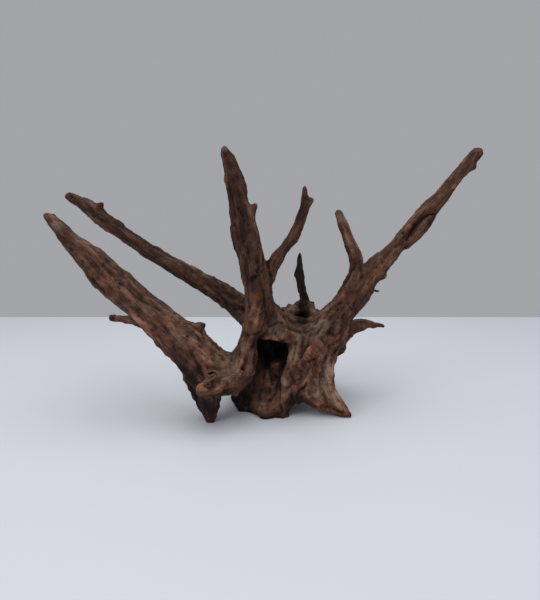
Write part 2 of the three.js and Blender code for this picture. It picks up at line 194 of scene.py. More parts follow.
# Cracks and creases: the line as across and down, then half the width and the depth
cracks = {
    "limb long crack": ([(120, 283), (130, 291), (139, 299), (150, 305), (160, 310)], 1, 1.3),
    "limb edge crack": ([(92, 279), (98, 286), (104, 292)], 1.2, 2),
    "limb low crease": ([(190, 352), (197, 364), (203, 374)], 1.6, 1.5),
    "spur crease": ([(194, 331), (197, 335), (200, 340)], 1, 1.8),
    "spur side crease": ([(201, 332), (204, 338)], 0.9, 1.4),
    "fork crack": ([(270, 258), (267, 264), (269, 270), (271, 276)], 0.9, 2.4),
    "fork crack left": ([(264, 262), (260, 268), (257, 272)], 0.9, 1.2),
    "upright split": ([(239, 208), (241, 212), (243, 216)], 0.9, 1.8),
    "upright upper split": ([(232, 196), (234, 206), (235, 216)], 0.9, 1.2),
    "upright left split": ([(234, 224), (236, 232), (238, 240)], 1, 1.6),
    "upright long crease": ([(264, 290), (265, 302), (266, 314), (264, 326)], 1.2, 1.6),
    "upright ring": ([(244, 333), (248, 336), (252, 334), (257, 335), (262, 331)], 1, 1.5),
    "bridge crease": ([(269, 327), (273, 325), (277, 323)], 0.9, 1.3),
    "crown groove": ([(289, 328), (295, 331), (302, 332), (309, 331), (315, 328)], 1.4, 1.2),
    "crown left groove": ([(283, 318), (288, 323), (291, 327)], 1, 1),
    "shoulder upper grain": ([(330, 309), (323, 322), (317, 334)], 0.9, 1.1),
    "shoulder inner grain": ([(324, 311), (318, 320), (313, 330)], 0.9, 0.9),
    "shoulder squiggle": ([(350, 307), (353, 311), (356, 309), (357, 313)], 0.9, 1.3),
    "finger left edge": ([(314, 343), (308, 351), (302, 359), (297, 366)], 1.2, 1.2),
    "finger right edge": ([(322, 348), (319, 355), (316, 363), (310, 371)], 1.2, 0.7),
    "finger tip edge": ([(315, 341), (319, 339), (323, 342)], 1.1, 1.8),
    "sheet crease": ([(320, 362), (322, 367), (324, 372)], 0.8, 0.7),
    "web crease": ([(296, 395), (300, 391), (306, 386)], 1.2, 1.8),
    "column groove": ([(296, 342), (295, 352), (293, 362)], 1, 1.2),
    "foot eye": ([(322, 406), (327, 407), (334, 410), (342, 413)], 1.7, 1.1),
    "nose cleft": ([(209, 378), (213, 382), (214, 387), (209, 388), (205, 386)], 1.3, 1.8),
    "foot upper crease": ([(331, 385), (334, 394), (338, 401)], 1.2, 0.9),
    "knob crease": ([(281, 378), (283, 384), (287, 389)], 0.7, 0.9),
    "knob upper crease": ([(286, 373), (288, 379), (288, 385)], 0.7, 0.9),
    "ramp side": ([(279, 384), (280, 392), (279, 402), (281, 410)], 1.2, 1.4),
    "ramp grain": ([(270, 388), (271, 396), (271, 405)], 1, 0.8),
    "right limb crack": ([(436, 214), (429, 214), (422, 219), (415, 226), (411, 233), (407, 240)], 0.8, 2.6),
    "right limb shadow line": ([(355, 264), (350, 274), (344, 284), (338, 294)], 1, 1.6),
    "right limb curl": ([(357, 268), (360, 268), (362, 272)], 0.8, 1),
    "rear limb bark edge": ([(204, 273), (211, 277), (218, 283), (225, 289)], 1, 1.4),
    "rear limb lower crack": ([(184, 278), (190, 282), (197, 286)], 1, 1),
}
# Ridges that stand proud: the line as across and down, then half the width and the height
ridges = {
    "finger": ([(316, 346), (310, 354), (304, 362), (299, 370)], 4.5, 3.2),
    "twig root": ([(302, 305), (303, 309), (303, 313)], 3.4, 2),
    "lip": ([(203, 390), (213, 392), (224, 391), (233, 388), (242, 380), (250, 371)], 3.2, 1.6),
    "column": ([(294, 340), (291, 352), (289, 363), (286, 372)], 4, 1.6),
    "bridge edge": ([(267, 337), (273, 337), (279, 336), (285, 337)], 2.2, 1.4),
    "foot edge": ([(332, 372), (333, 384), (335, 394), (341, 404)], 3, 1),
    "foot rim": ([(318, 402), (326, 403), (334, 406), (341, 409)], 2.2, 0.9),
    "ramp edge": ([(256, 390), (256, 400), (256, 410)], 2.4, 1.2),
    "ramp sill": ([(257, 412), (264, 414), (271, 414), (277, 412)], 2.4, 1.2),
    "shoulder fold": ([(326, 314), (319, 327), (313, 340)], 2.6, 0.8),
}
# Patches of another colour: across, down, radius, strength
orange = {
    "nose": (202, 387, 8, 0.6),
    "lip": (217, 391, 8, 0.55),
    "lip end": (232, 389, 8, 0.5),
    "splinter": (238, 391, 5, 0.8),
    "rear tip": (74, 197, 8, 0.5),
    "rear burl": (119, 222, 4, 0.4),
    "rear patch": (202, 276, 7, 0.45),
    "limb edge": (92, 274, 9, 0.6),
    "limb edge low": (100, 282, 8, 0.4),
    "upright tip": (231, 157, 8, 0.6),
    "fork": (263, 285, 10, 0.3),
    "limb middle": (112, 283, 12, 0.35),
    "limb low": (135, 300, 12, 0.3),
    "limb lowest": (172, 322, 14, 0.35),
    "upright streak": (256, 297, 8, 0.5),
    "upright streak middle": (257, 310, 8, 0.5),
    "upright streak low": (256, 322, 8, 0.45),
    "fork end": (304, 192, 9, 0.45),
    "fork tip": (308, 201, 5, 0.4),
    "fork root": (277, 259, 8, 0.35),
    "finger": (313, 350, 8, 0.5),
    "finger middle": (307, 358, 7, 0.45),
    "finger root": (302, 365, 7, 0.4),
    "toe": (347, 412, 5, 0.5),
    "foot rim": (318, 404, 7, 0.4),
    "foot underside": (330, 411, 8, 0.4),
    "ramp streak": (271, 398, 6, 0.45),
    "bridge edge": (276, 338, 6, 0.4),
    "pocket": (337, 353, 4, 0.5),
    "right limb burl": (408, 227, 5, 0.5),
    "right tip": (478, 152, 6, 0.5),
    "right limb upper": (455, 186, 9, 0.4),
    "right limb low": (370, 290, 10, 0.3),
    "right fork": (347, 238, 9, 0.45),
    "shoulder limb": (365, 300, 10, 0.35),
}
red = {
    "left tip": (47, 214, 8, 0.9),
    "rear end": (69, 195, 6, 0.9),
    "rear thorn": (100, 204, 5, 0.8),
    "limb marks": (72, 252, 7, 0.6),
    "limb middle": (160, 320, 16, 0.4),
    "limb lower": (180, 343, 14, 0.35),
    "upright ring": (252, 334, 8, 0.5),
    "nose pit": (214, 379, 6, 0.6),
    "hip": (248, 372, 8, 0.5),
    "rear limb": (186, 278, 12, 0.4),
    "rear limb far": (130, 240, 18, 0.3),
    "fork": (292, 236, 14, 0.4),
    "right limb": (352, 295, 16, 0.4),
    "right limb middle": (382, 268, 16, 0.35),
    "right limb far": (418, 215, 14, 0.3),
    "right stub": (370, 324, 20, 0.5),
    "toe": (349, 414, 5, 0.8),
}
tan = {
    "crown": (313, 308, 12, 0.9),
    "crown left": (293, 308, 9, 0.7),
    "crown front": (302, 336, 14, 0.75),
    "bridge": (278, 328, 13, 0.85),
    "bridge thorn": (277, 312, 8, 0.5),
    "column": (292, 355, 11, 0.8),
    "column knob": (285, 382, 8, 0.8),
    "shoulder": (321, 330, 16, 0.75),
    "right limb root": (327, 307, 9, 0.7),
    "shoulder lump": (338, 326, 8, 0.6),
    "right sheet": (328, 370, 16, 0.8),
    "right sheet low": (322, 388, 18, 0.75),
    "right foot": (336, 398, 12, 0.7),
    "web": (305, 380, 10, 0.6),
    "ramp": (262, 404, 12, 0.5),
    "ramp right": (286, 398, 9, 0.5),
    "left limb tip": (58, 226, 12, 0.75),
    "left limb upper": (80, 240, 14, 0.5),
    "left limb top": (112, 264, 16, 0.3),
    "rear limb tip": (88, 208, 12, 0.3),
    "right fork tip": (340, 217, 10, 0.75),
    "right fork": (347, 240, 12, 0.5),
    "left limb": (150, 303, 20, 0.45),
    "left limb low": (180, 335, 20, 0.5),
    "left limb middle": (118, 280, 18, 0.35),
    "crook": (224, 356, 16, 0.6),
    "nose": (201, 388, 9, 0.8),
    "hip middle": (232, 374, 12, 0.6),
    "upright foot": (245, 346, 10, 0.5),
    "upright end": (225, 149, 5, 0.7),
}
# Stretches of painted shade (deep), on undersides and where limbs meet, and of painted light (pale), on rims
# and faces that catch the light, with some of the wood's own tone in both: the line, half the width,
# strength
deep = {
    "rear limb": ([(70, 196), (119, 228), (170, 260), (205, 280), (238, 304)], 6, 0.75),
    "rear limb underside": ([(164, 268), (184, 281), (205, 293), (232, 312)], 6, 1),
    "rear limb top": ([(100, 210), (119, 222), (145, 242)], 5, 1),
    "upright limb": ([(228, 160), (238, 200), (246, 240), (256, 280), (262, 305)], 6, 0.72),
    "upright middle": ([(240, 206), (241, 218), (243, 235)], 4, 1),
    "upright tip": ([(229, 152), (230, 162)], 4, 0.7),
    "upright right side": ([(234, 166), (241, 184), (246, 198)], 5, 0.8),
    "upright left side": ([(229, 188), (231, 206), (233, 225)], 4, 0.9),
    "upright tip left side": ([(222, 152), (223, 162)], 3, 0.7),
    "fork crotch": ([(264, 264), (264, 274)], 3.5, 0.7),
    "fork": ([(268, 264), (274, 262), (284, 246), (297, 226), (305, 195)], 5, 0.75),
    "left limb tip": ([(56, 232), (64, 240)], 4, 0.6),
    "left limb edge": ([(84, 265), (94, 277)], 4, 0.7),
    "left limb far": ([(74, 248), (94, 256)], 5, 0.6),
    "left limb middle": ([(108, 262), (122, 280)], 5, 0.5),
    "left limb near": ([(142, 300), (150, 304)], 5, 0.5),
    "left limb low": ([(168, 330), (176, 340)], 4, 0.4),
    "left limb lower edge": ([(122, 300), (137, 312)], 3, 0.5),
    "spur side": ([(200, 329), (204, 338)], 3, 0.7),
    "left limb underside": ([(178, 366), (188, 378), (196, 396)], 5, 1),
    "hip": ([(216, 383), (232, 378), (248, 380)], 4, 0.5),
    "upright foot": ([(255, 344), (257, 358), (250, 366)], 5, 0.9),
    "column edge": ([(288, 348), (287, 362)], 4, 1),
    "shoulder front": ([(306, 338), (308, 350)], 3, 0.5),
    "ramp bottom": ([(256, 413), (266, 416), (280, 416)], 2.5, 0.9),
    "foot underside": ([(303, 401), (318, 408), (340, 415)], 3, 0.6),
    "crown": ([(296, 314), (308, 316)], 4, 0.6),
    "crook": ([(220, 362), (226, 357), (232, 354)], 4, 0.7),
    "bridge top": ([(272, 326), (280, 327)], 3.5, 0.5),
    "crown front": ([(299, 322), (306, 331)], 4, 0.6),
    "shoulder": ([(330, 315), (336, 326), (322, 334)], 3.5, 0.5),
    "right limb": ([(412, 234), (420, 222), (432, 209)], 3, 0.7),
    "right limb low": ([(370, 266), (384, 250)], 3.5, 0.4),
    "right limb root": ([(356, 294), (346, 312)], 3.5, 0.5),
    "right fork left side": ([(341, 230), (347, 250)], 3, 0.6),
    "right fork tip": ([(337, 213), (341, 214)], 3, 0.6),
    "right limb end": ([(460, 172), (470, 162)], 4, 0.5),
    "lip end": ([(224, 393), (232, 391), (240, 389)], 4, 0.8),
    "left stub underside": ([(113, 320.5), (122, 321), (130, 323)], 2, 1),
    "left stub end": ([(110.5, 316), (110.5, 319)], 2, 0.4),
}
pale = {
    "right fork": ([(342, 218), (349, 232), (358, 254)], 4, 0.7),
    "right limb right side": ([(391, 257), (380, 274)], 3.5, 0.6),
    "right limb far": ([(450, 177), (462, 162)], 3.5, 0.5),
    "rear limb top": ([(168, 260), (196, 273)], 3, 0.5),
    "rear limb far": ([(88, 203), (101, 208)], 3, 0.5),
    "web side": ([(311, 374), (311, 394)], 4.5, 0.9),
    "sheet right side": ([(326, 370), (328, 388)], 4, 0.7),
    "upright foot": ([(246, 365), (252, 374)], 4, 0.5),
    "left limb crook": ([(206, 346), (214, 355)], 4, 0.6),
    "left limb root low": ([(194, 364), (197, 375)], 4, 0.6),
    "right limb root": ([(355, 268), (350, 279), (342, 293), (332, 307), (325, 320)], 4, 0.45),
    "left limb streak": ([(108, 284), (116, 296), (130, 306)], 4, 0.5),
    "crown back": ([(293, 307), (298, 306)], 3, 0.6),
    "right limb side": ([(380, 262), (374, 278)], 4, 0.6),
    "right limb upper": ([(450, 188), (458, 178)], 4, 0.5),
    "left limb knot": ([(97, 251), (104, 254)], 4, 0.8),
    "left limb root": ([(196, 340), (204, 350), (208, 370)], 5, 0.9),
    "left limb edge": ([(137, 321), (149, 331), (163, 346)], 5, 0.9),
    "left limb tip": ([(46, 214), (52, 218)], 4, 0.6),
    "bridge rim": ([(267, 338), (274, 338), (281, 338), (288, 340)], 3, 1),
    "column": ([(294, 338), (295, 352), (294, 364)], 4, 0.5),
    "knob": ([(284, 374), (285, 382), (286, 388)], 4, 0.35),
    "web": ([(297, 388), (306, 378), (312, 372)], 5, 0.9),
    "sheet": ([(316, 352), (315, 366), (315, 380)], 5, 1),
    "sheet edge": ([(330, 362), (330, 378), (333, 392)], 4, 1),
    "foot": ([(320, 406), (330, 408), (340, 410)], 5, 0.8),
    "ramp": ([(256, 396), (256, 411), (264, 411), (264, 396), (272, 396), (272, 411)], 2.5, 0.6),
    "ramp top": ([(264, 376), (272, 386)], 5, 0.9),
    "cave side": ([(275, 364), (275, 382)], 4, 1),
    "block face": ([(244, 402), (252, 406)], 4, 0.8),
    "web low": ([(288, 391), (296, 389)], 4, 0.8),
    "block right": ([(284, 396), (285, 408)], 4, 0.5),
    "shoulder side": ([(314, 342), (318, 346), (328, 344)], 4, 0.6),
    "side of the stub": ([(346, 334), (352, 328)], 5, 0.6),
    "hip": ([(224, 381), (236, 380), (240, 352)], 4, 0.5),
    "foot lumps": ([(208, 418), (212, 410), (215, 402)], 4, 0.9),
    "upright root side": ([(244, 326), (240, 340)], 4, 0.4),
    "left stub": ([(118, 319), (128, 321)], 3, 0.5),
    "upright root": ([(251, 308), (252, 320)], 3.5, 0.4),
}
# Patches of black, most of them painted shade under the limbs, the lip and the block and round the feet,
# some the twigs' own dark tone, and of greyish tone, two of them a painted sheen: across, down, radius,
# strength
dark = {
    "left foot": (207, 410, 17, 1),
    "left foot right": (216, 404, 11, 0.9),
    "limb underside": (196, 372, 8, 0.8),
    "under the lip": (240, 398, 12, 0.9),
    "block left": (245, 408, 9, 0.75),
    "crown twig tip": (299, 255, 7, 1),
    "crown twig": (299, 268, 14, 1),
    "crown twig middle": (301, 283, 12, 1),
    "crown twig base": (303, 297, 12, 1),
    "twig root": (301, 306, 6, 0.9),
    "twig root middle": (302, 314, 7, 1),
    "twig root low": (302, 320, 8, 1),
    "twig root side": (306, 318, 5, 0.9),
    "rear limb underside": (205, 291, 6, 0.7),
    "rear limb underside far": (192, 284, 5, 0.6),
    "rear limb underside near": (218, 299, 5, 0.6),
    "web tooth": (300, 397, 5, 1),
    "limb underside low": (190, 380, 11, 1),
    "limb underside far": (184, 370, 8, 0.8),
    "behind the foot": (194, 391, 10, 1),
    "foot outside": (198, 402, 9, 1),
    "block left edge": (240, 402, 12, 1),
    "block left foot": (242, 409, 10, 1),
    "block left face": (247, 405, 7, 0.8),
    "block left face upper": (248, 394, 7, 0.5),
    "block left face foot": (250, 411, 6, 0.9),
    "block right edge": (289, 401, 9, 1),
    "block right foot": (289, 411, 6, 0.9),
    "ramp bottom": (262, 417, 4, 0.9),
    "ramp bottom right": (272, 418, 4, 0.9),
    "upright root": (268, 322, 6, 0.6),
    "rear limb root": (228, 305, 15, 0.45),
    "back twig": (377, 291, 4, 0.8),
    "sill": (265, 418, 8, 0.6),
}
grey_and_sheen = {
    # the first two are a painted bluish sheen on the left limb's lower edge, the rest the wood's own greyish
    # tone
    "limb lower edge": (125, 305, 8, 0.3),
    "limb lower edge near": (146, 321, 8, 0.3),
    "upright left edge": (245, 300, 7, 0.55),
    "upright left low": (242, 318, 7, 0.45),
    "crook": (233, 352, 8, 0.4),
    "column knob": (284, 387, 5, 0.4),
    "cave side": (274, 385, 7, 0.5),
    "ramp right edge": (283, 395, 6, 0.2),
    "left stub": (116, 318, 9, 0.6),
    "foot web": (308, 398, 9, 0.3),
}
# Each colour's patches, how many seeded ones it has besides, which show behind only, and their strength
coloured = {
    "tan": (tan, 60, 0.9),
    "orange": (orange, 50, 0.6),
    "red": (red, 50, 0.6),
    "grey_and_sheen": (grey_and_sheen, 12, 0.3),
}
# Hollows that are wide and shallow: across, down, radius, depth
recesses = {
    "block left": (244, 400, 8, 3.5),
    "left stub end": (112, 317, 5, 1.8),
    "crown left notch": (282, 309, 5, 4),
    "right tip": (477, 147, 5, 1.3),
    "fork thorn": (311, 197, 4, 0.8),
    "block left top": (244, 388, 7, 3),
    "bridge underside": (283, 344, 6, 4.5),
    "bridge underside left": (276, 345, 6, 3.5),
}
# Places that are worn soft before anything is added: across, down, radius, share
worn = {
    "limb slit": (177, 346, 4, 0.7),
    "ramp face": (264, 404, 9, 0.9),
    "behind the nose": (212, 377, 9, 1),
    "nose hollow": (209, 383, 5, 0.8),
}
# Places that are drawn out: across, down, radius, then how far right, back and up
pulls = {
    "block left edge": (238, 399, 9, (-7, 0, 0)),
    "block right edge": (289, 402, 8, (5, 0, 0)),
    "ramp foot": (264, 414, 9, (0, -4, 0)),
    "fork web": (264, 259, 6, (0, 0, 3.5)),
    "foot outside": (201, 408, 8, (-1.5, 0, 0)),
    "toe": (348, 415, 7, (-0.5, 0, 2.5)),
    "rear thorn": (100, 204, 4, (-2, 0, 0.5)),
    "limb slit": (177, 346, 3.5, (-0.3, -1.6, 0.8)),
    "block left foot": (242, 409, 8, (-4, 0, 0)),
    "web underside": (297, 398, 7, (0, -1, -6)),
    "ramp face": (264, 403, 8, (0, 2, 0)),
    "ramp left edge": (255, 400, 6, (0, -3, 0)),
    "ramp left foot": (255, 410, 6, (0, -3, 0)),
    "spur corner": (204, 325, 3, (1.5, 0, 1)),
    "left stub claw": (112, 314, 3, (1, 0, -1.2)),
    "crown lip": (302, 317, 6, (0, 3, -3)),
    "spur top": (196, 324, 5, (0, 0, -1.2)),
    "fork thorn": (312, 199, 2.2, (1.4, 0, -1)),
    "right fork tip": (339, 213, 6, (-1, 0, 2)),
    "lip right edge": (249, 385, 9, (-8, 0, 6)),
    "lip right foot": (242, 391, 6, (-2.5, 0, 2)),
    "foot right edge": (335, 386, 9, (-1.6, 0, 0)),
}
# Hollows of the solid that are too round, and are filled: across, down, the rim's radius in pixels
filled = {
    "behind the nose": (211.5, 376, 7),
}
# Where each root, limb and twig starts and ends, in millimetres
axes = {
    "stump": ((38, 2, 0), (38, 12, 100)),
    "left limb": ((-37, -55, 49), (-208, -15, 192)),
    "rear limb": ((12, 21, 70), (-227, 82, 219)),
    "upright limb": ((-22, -54, 48), (-3, -47, 120)),
    "upright limb end": ((-3, -47, 120), (-34, -29, 250)),
    "upright fork": ((0, -47, 124), (24, -36, 164)),
    "upright fork end": ((24, -36, 164), (41, -24, 217)),
    "right limb": ((55, -9, 66), (225, 33, 259)),
    "right fork": ((88, 0, 114), (94, -7, 153)),
    "right fork end": ((94, -7, 153), (75, -17, 193)),
    "right stub": ((74, 3, 68), (138, 50, 70)),
    "crown twig": ((44, 20, 84), (40, 21, 154)),
    "left stub": ((-100, -39, 88), (-153, -4, 88)),
    "back twig": ((92, 7, 108), (127, 33, 112)),
    "left foot": ((-56, -49, 64), (-48, -54, 0)),
    "right foot": ((53, -13, 56), (83, -44, 1)),
    "rear left foot": ((-4, 25, 42), (-34, 61, -6)),
    "rear right foot": ((50, 20, 46), (72, 56, -6)),
    "nose": ((-22, -60, 46), (-49, -82, 41)),
}
MIDDLE = np.array((12, -14, 58)) * MM  # the cave's middle, which the limbs grow out from


# Mesh arrays
def modified(mesh, kind, **settings):
    """What a modifier makes of a mesh."""
    copy = bpy.data.objects.new("copy", mesh)
    bpy.context.scene.collection.objects.link(copy)
    modifier = copy.modifiers.new("change", kind)
    for key, value in settings.items():
        setattr(modifier, key, value)
    changed = copy.evaluated_get(bpy.context.evaluated_depsgraph_get())
    result = bpy.data.meshes.new_from_object(changed)
    bpy.data.objects.remove(copy)
    return result


def remeshed(source, step):
    """The solid's surface again, as even squares."""
    return modified(source.data.copy(), "REMESH", mode="VOXEL", voxel_size=step)


def thinned(mesh):
    """The same surface with fewer triangles, taken away where it is smoothest."""
    return modified(mesh, "DECIMATE", ratio=min(1, MOST_TRIANGLES / (2 * len(mesh.polygons))))


def read(collection, name, width=3, kind=np.float64):
    values = np.empty(len(collection) * width, kind)
    collection.foreach_get(name, values)
    return values.reshape(-1, width)


def unit(rows):
    return rows / np.maximum(np.linalg.norm(rows, axis=1, keepdims=True), 1e-12)


def dot(a, b):
    return np.einsum("ij,ij->i", a, b)


def even(values):
    """The same pattern with mean 0 and spread 1."""
    return (values - values.mean()) / values.std()


def ramp(values, low, high):
    """0 at low, 1 at high, and smooth between."""
    t = np.clip((values - low) / (high - low), 0, 1)
    return t * t * (3 - 2 * t)


def noise_at(points, size, seed):
    """Smooth noise about 0, with waves of that size."""
    shift = Vector((7.3, 3.1, 5.7)) * seed
    return np.array([noise.noise(Vector(p) / size + shift) for p in points])


class Surface:
    """A mesh's vertices, with what lies next to what."""

    def __init__(self, mesh):
        self.mesh = mesh
        self.points = read(mesh.vertices, "co")
        self.normals = read(mesh.vertices, "normal")
        edges = read(mesh.edges, "vertices", 2, np.int32)
        both = np.concatenate([edges, edges[:, ::-1]])
        both = both[np.argsort(both[:, 0], kind="stable")]
        self.neighbours = both[:, 1]
        self.counts = np.bincount(both[:, 0], minlength=len(self.points))
        self.starts = np.concatenate([[0], np.cumsum(self.counts)[:-1]])

    def move(self, points):
        self.mesh.vertices.foreach_set("co", points.ravel())
        self.mesh.update()
        self.points = points
        self.normals = read(self.mesh.vertices, "normal")

    def spread(self, values, rounds, share=1.0):
        """Each vertex takes on the mean of its neighbours, round after round."""
        rows = values.reshape(len(values), -1)
        for _ in range(rounds):
            mean = np.add.reduceat(rows[self.neighbours], self.starts) / self.counts[:, None]
            rows = rows + share * (mean - rows)
        return rows.reshape(values.shape)

    def smooth(self, rounds):
        """Takes facets off without shrinking thin twigs: each step in is followed by one back out."""
        points = self.points
        for _ in range(rounds):
            points = self.spread(points, 1, STEP_IN)
            points = self.spread(points, 1, -STEP_OUT)
        self.move(points)

    def solid(self):
        """The surface in the form that rays are cast at."""
        faces = [tuple(face.vertices) for face in self.mesh.polygons]
        return BVHTree.FromPolygons([tuple(p) for p in self.points], faces)


def tree_of(points):
    tree = KDTree(len(points))
    for i, p in enumerate(points):
        tree.insert(p, i)
    tree.balance()
    return tree


def thickness_of(surface, solid):
    """Half the depth of wood under each vertex."""
    depths = []
    for p, n in zip(surface.points, surface.normals):
        depth = solid.ray_cast(Vector(p - n * JUST_INSIDE * MM), Vector(-n), THICKEST)[3]
        depths.append(depth or THICKEST)
    return surface.spread(np.array(depths) / 2, DEPTH_ROUNDS)


def dome(normal):
    """Rays spread evenly over the half sphere round a normal."""
    numbers = np.arange(OPEN_RAYS)
    turns = numbers * math.pi * (3 - math.sqrt(5))
    rise = np.sqrt(1 - (numbers + 0.5) / OPEN_RAYS)
    out = np.sqrt(1 - rise * rise)
    side = np.cross(normal, (1.0, 0.0, 0.0) if abs(normal[0]) < 0.7 else (0.0, 1.0, 0.0))
    side /= np.linalg.norm(side)
    front = np.cross(normal, side)
    level = np.outer(out * np.cos(turns), side) + np.outer(out * np.sin(turns), front)
    return level + np.outer(rise, normal)


def openness_of(rough, fine):
    """The share of the sky that each vertex sees, with what comes from above counting most. It sets the
    painted shade.
    """
    solid = rough.solid()
    shares = []
    for p, n in zip(rough.points, rough.normals):
        rays = dome(n)
        start = Vector(p + n * MM)
        weights = SIDE_LIGHT + (1 - SIDE_LIGHT) * np.clip(rays[:, 2], 0, 1)
        clear = np.array([solid.ray_cast(start, ray, OPEN_REACH)[0] is None for ray in rays])
        shares.append((weights * clear).sum() / OPEN_RAYS)
    shares = rough.spread(np.array(shares), 2)
    tree = tree_of(rough.points)
    return fine.spread(shares[[tree.find(p)[1] for p in fine.points]], 4)


def drawn_places(points):
    """Each vertex's place with the way along its limb shortened, so that patterns follow the grain.

    The second result is 0 where two limbs meet, and 1 where a vertex is clearly on one of them.
    """
    gaps = []
    places = []
    for start, end in axes.values():
        start, end = np.array(start) * MM, np.array(end) * MM
        way = (end - start) / np.linalg.norm(end - start)
        along = (points - start) @ way
        near = np.clip(along, 0, np.linalg.norm(end - start))
        gaps.append(np.linalg.norm(points - start - np.outer(near, way), axis=1))
        places.append(points - np.outer(along * (1 - 1 / FIBRE_DRAW), way))
    order = np.argsort(gaps, axis=0)
    gaps = np.take_along_axis(np.array(gaps), order, axis=0)
    nearest = np.array(places)[order[0], np.arange(len(points))]
    return nearest, ramp(gaps[1] - gaps[0], 0, MEETING)


# Grain
def grain_of(rough, fine):
    """The way that the wood's fibres run at each vertex, pointing out from the stump.

    Round a limb the normals all lie across it, so the way along is the one that they point in least.
    Where there is no clear way along, the grain stands upright.
    """
    lean = np.diag([UPRIGHT, UPRIGHT, 0.0])
    spans = rough.spread(np.einsum("ij,ik->ijk", rough.normals, rough.normals), ROUGH_WAY_ROUNDS)
    tree = tree_of(rough.points)
    spans = spans[[tree.find(p)[1] for p in fine.points]] + lean
    way = np.linalg.eigh(fine.spread(spans, FINE_WAY_ROUNDS))[1][:, :, 0]
    drift = DRIFT * noise_at(fine.points, DRIFT_SIZE, seed=3)[:, None]
    way = way + drift * np.cross(fine.normals, way)
    way = unit(way - fine.normals * dot(way, fine.normals)[:, None])
    outward = np.sign(dot(way, fine.points - MIDDLE))
    return way * outward[:, None]


class Grain:
    """Moves a pattern along the grain: a vertex takes the value found one stride ahead or behind."""

    def __init__(self, surface, ways):
        tree = tree_of(surface.points)
        self.strides = []
        for heading in (1, -1):
            found = [tree.find_n(p, 3) for p in surface.points + heading * GRAIN_STRIDE * ways]
            index = np.array([[near[1] for near in three] for three in found])
            gap = np.array([[near[2] for near in three] for three in found])
            weight = 1 / (gap + STRIDE_SLACK) ** 2
            self.strides.append((index, weight / weight.sum(axis=1, keepdims=True)))

    def draw_out(self, values, length):
        """Smears a pattern into streaks about that long."""
        steps = max(1, round(length / GRAIN_STRIDE / 2))
        total = values.copy()
        for index, weight in self.strides:
            moved = values
            for step in range(steps):
                moved = (moved[index] * weight).sum(axis=1)
                total += moved * (1 - step / steps)
        return even(total)


# Places read off the photograph
class Photograph:
    """Finds the place on the wood that shows at a pixel."""

    def __init__(self, solid):
        self.solid = solid

    def place(self, across, down):
        right, below = (across - FRAME_WIDTH / 2) / FOCAL, (down - FRAME_HEIGHT / 2) / FOCAL
        sin, cos = math.sin(CAMERA_PITCH), math.cos(CAMERA_PITCH)
        way = Vector((right, cos - below * sin, -sin - below * cos)).normalized()
        place = self.solid.ray_cast(CAMERA_PLACE, way)[0]
        if place is None:
            print("misses the wood:", across, down)
        return place

    def line(self, stops):
        """Places along a line of pixels, about a millimetre apart."""
        places = []
        for (x0, y0), (x1, y1) in zip(stops, stops[1:]):
            count = max(2, round(math.hypot(x1 - x0, y1 - y0)))
            for i in range(count):
                share = i / count
                places.append(self.place(x0 + share * (x1 - x0), y0 + share * (y1 - y0)))
        places.append(self.place(*stops[-1]))
        return [p for p in places if p is not None]

    def rim(self, across, down, reach):
        """Places on a ring of pixels."""
        turns = np.arange(RIM_STOPS) * math.pi * 2 / RIM_STOPS
        ring = [(across + reach * math.cos(turn), down + reach * math.sin(turn)) for turn in turns]
        places = [self.place(*pixel) for pixel in ring]
        return np.array([place for place in places if place is not None])


def level_with_rim(points, rim):
    """The vertices inside a hollow, brought out almost to the plane through its rim."""
    middle = rim.mean(axis=0)
    out = np.linalg.svd(rim - middle)[2][2]
    out *= np.sign(out @ (np.array(CAMERA_PLACE) - middle))
    depth = (points - middle) @ out
    aside = np.linalg.norm(points - middle - np.outer(depth, out), axis=1)
    radius = np.linalg.norm(rim - middle, axis=1).mean()
    inside = ramp(aside, radius, RIM_CORE * radius) * (depth < 0) * (depth > -RIM_DEEPEST * radius)
    return points - np.outer(RIM_FILL * inside * depth, out)


class Marks:
    """Heights and colours that are added near named places."""

    def __init__(self, surface, photograph):
        self.tree = tree_of(surface.points)
        self.count = len(surface.points)
        self.photograph = photograph

    def gaps(self, places, reach):
        """Each vertex's distance to the nearest of the places, or the reach where it is farther."""
        gaps = np.full(self.count, reach)
        for place in places:
            for _, i, gap in self.tree.find_range(place, reach):
                gaps[i] = min(gaps[i], gap)
        return gaps

    def spot(self, across, down, radius):
        """1 at the place that shows at a pixel, and 0 from a little more than the radius out."""
        place = self.photograph.place(across, down)
        if place is None:
            return 0
        return ramp(self.gaps([place], radius * SPOT_EDGE) / radius, SPOT_EDGE, 0.0)

    def spots(self, table):
        total = np.zeros(self.count)
        for across, down, radius, amount in table.values():
            total = np.maximum(total, amount * self.spot(across, down, radius * MM))
        return total

    def lines(self, table):
        total = np.zeros(self.count)
        for stops, width, amount in table.values():
            reach = LINE_EDGE * width * MM
            gaps = self.gaps(self.photograph.line(stops), reach)
            total = np.maximum(total, amount * ramp(gaps, reach, LINE_CORE * reach))
        return total


# The wood's form
cad = frame["nodes"][NODE]
rough = Surface(remeshed(cad, COARSE_STEP))
wood = Surface(remeshed(cad, FINE_STEP))
wood.smooth(FACET_ROUNDS)
rng = np.random.default_rng(SEED)
solid = wood.solid()
ways = grain_of(rough, wood)
grain = Grain(wood, ways)
marks = Marks(wood, Photograph(solid))


def shape_places():
    """Levels hollows, draws places out and wears places soft. The result is how worn each vertex is."""
    for across, down, reach in filled.values():
        wood.move(level_with_rim(wood.points, marks.photograph.rim(across, down, reach)))
    for across, down, radius, way in pulls.values():
        wood.move(wood.points + np.outer(marks.spot(across, down, radius * MM), way) * MM)
    wear = marks.spots(worn)
    wood.move(wood.points + wear[:, None] * (wood.spread(wood.points, WEAR_ROUNDS) - wood.points))
    return wear


def streaks(width, length):
    """Seeded streaks along the grain: width in rounds of spreading, length in metres."""
    return grain.draw_out(wood.spread(rng.standard_normal(marks.count), width), length)


